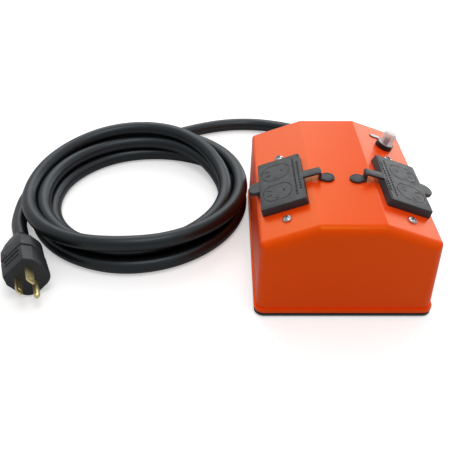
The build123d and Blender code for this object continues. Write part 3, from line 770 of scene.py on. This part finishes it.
def cord_route():
    """Control points from the gland to the plug; the coil's stand out a little, as the curve cuts inside."""
    points = [Vector(p) for p in LEAD]
    outset = 1 / cos(radians(TURN_STEP / 2)) ** 1.5
    first, last = COIL[0][0], COIL[-1][0]
    steps = int((last - first) / TURN_STEP)
    for i in range(steps + 1):
        angle = first + i * (last - first) / steps
        radius, z = coil_at(angle)
        radius *= outset
        x = COIL_X + radius * cos(radians(angle))
        y = COIL_Y + radius * sin(radians(angle))
        points.append(Vector((x, y, z)))
    return points + [Vector(p) for p in TAIL]


def make_cord():
    """One round cord along the whole route."""
    data = bpy.data.curves.new("supply_cord", "CURVE")
    data.dimensions = "3D"
    spline = data.splines.new("NURBS")
    route = cord_route()
    spline.points.add(len(route) - 1)
    for point, place in zip(spline.points, route):
        point.co = (*(place * MM), 1)
    spline.order_u = 3
    spline.use_endpoint_u = True
    spline.resolution_u = 12
    data.resolution_u = 12
    data.bevel_depth = CORD_D / 2
    data.bevel_resolution = 7
    data.use_fill_caps = True
    cord = bpy.data.objects.new("supply_cord", data)
    bpy.context.scene.collection.objects.link(cord)
    data.materials.append(paint["cord_jacket"])
    return cord


cord = make_cord()
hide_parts("cord_lead", "cord_coil", "cord_tail")
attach(cord, "housing")

# ------------------------------------------------------------------ camera, light, floor

# Half size of the floor in metres; its whiteness for light and for the camera, and its glow for the camera.
FLOOR_HALF = 6.0
FLOOR_SHADE, FLOOR_WHITE, FLOOR_GLOW = 0.6, 0.92, 0.4

# Brightness of the surroundings in front and behind, the direction in which they grow brighter, and how far
# along it, from -1 to 1, they begin and end to do so.
WORLD_FRONT, WORLD_BACK = 0.38, 0.72
WORLD_LEAN, WORLD_SPAN = (0.35, 0.6, 0.72), (-0.5, 0.9)

# Name, place, target, size and power of each square light, in metres and watts.
SOFTBOXES = (
    ("back_softbox", (-0.25, 1.3, 1.15), (-0.1, 0.0, 0.0), 1.2, 7),
    ("side_softbox", (1.5, 2.2, 0.6), (0.05, 0.0, 0.07), 1.5, 12),
    ("top_softbox", (0.0, -0.3, 1.6), (-0.1, 0.0, 0.0), 0.6, 4.5),
)

# Place in metres, tilt below the horizon in degrees, focal length and sensor width in millimetres.
CAMERA_PLACE = (-0.09215, -0.42047, 0.34711)
CAMERA_DOWN, CAMERA_LENS, CAMERA_SENSOR = 37.405, 48.774, 36.0


def camera_ray_mix(tree, for_light, for_camera):
    """Value for light and reflections, and another one where the camera looks straight at the stage."""
    ray = tree.nodes.new("ShaderNodeLightPath")
    mix = tree.nodes.new("ShaderNodeMapRange")
    mix.inputs["To Min"].default_value = for_light
    mix.inputs["To Max"].default_value = for_camera
    tree.links.new(ray.outputs["Is Camera Ray"], mix.inputs["Value"])
    return mix.outputs[0]


def make_floor():
    """Pale floor, lit a little where the camera sees it so that it meets the background."""
    bm = bmesh.new()
    corners = ((-1, -1), (1, -1), (1, 1), (-1, 1))
    bm.faces.new([bm.verts.new((FLOOR_HALF * x, FLOOR_HALF * y, 0)) for x, y in corners])
    data = bpy.data.meshes.new("floor")
    bm.to_mesh(data)
    bm.free()
    floor = bpy.data.objects.new("floor", data)
    bpy.context.scene.collection.objects.link(floor)
    m = Nodes("pale_floor", (1, 1, 1), 0.9)
    m.link(camera_ray_mix(m.tree, FLOOR_SHADE, FLOOR_WHITE), m.shader.inputs["Base Color"])
    m.shader.inputs["Emission Color"].default_value = (1, 1, 1, 1)
    m.link(camera_ray_mix(m.tree, 0.0, FLOOR_GLOW), m.shader.inputs["Emission Strength"])
    data.materials.append(m.material)


def make_world():
    """Studio surroundings, brighter behind and above the object than in front of it."""
    world = bpy.data.worlds.new("studio")
    world.use_nodes = True
    tree = world.node_tree
    lean = tree.nodes.new("ShaderNodeVectorMath")
    lean.operation = "DOT_PRODUCT"
    lean.inputs[1].default_value = WORLD_LEAN
    tree.links.new(tree.nodes.new("ShaderNodeTexCoord").outputs["Generated"], lean.inputs[0])
    shade = tree.nodes.new("ShaderNodeMapRange")
    shade.interpolation_type = "SMOOTHSTEP"
    shade.inputs["From Min"].default_value, shade.inputs["From Max"].default_value = WORLD_SPAN
    shade.inputs["To Min"].default_value = WORLD_FRONT
    shade.inputs["To Max"].default_value = WORLD_BACK
    tree.links.new(lean.outputs["Value"], shade.inputs["Value"])
    seen = tree.nodes.new("ShaderNodeMath")
    seen.operation = "MAXIMUM"
    tree.links.new(shade.outputs[0], seen.inputs[0])
    tree.links.new(camera_ray_mix(tree, 0.0, 1.0), seen.inputs[1])
    tree.links.new(seen.outputs[0], tree.nodes["Background"].inputs["Strength"])
    tree.nodes["Background"].inputs["Color"].default_value = (1, 1, 1, 1)
    bpy.context.scene.world = world


make_floor()
make_world()
bpy.context.scene.view_settings.view_transform = "Standard"


def area_light(name, place, target, size, power):
    """Square light that faces its target."""
    data = bpy.data.lights.new(name, "AREA")
    data.shape = "SQUARE"
    data.size = size
    data.energy = power
    light = bpy.data.objects.new(name, data)
    light.location = place
    light.rotation_euler = (Vector(target) - Vector(place)).to_track_quat("-Z", "Y").to_euler()
    bpy.context.scene.collection.objects.link(light)


for softbox in SOFTBOXES:
    area_light(*softbox)

camera_data = bpy.data.cameras.new("camera")
camera_data.lens = CAMERA_LENS
camera_data.sensor_width = CAMERA_SENSOR
camera = bpy.data.objects.new("camera", camera_data)
camera.location = CAMERA_PLACE
camera.rotation_euler = (radians(90 - CAMERA_DOWN), 0, 0)
bpy.context.scene.collection.objects.link(camera)
bpy.context.scene.camera = camera
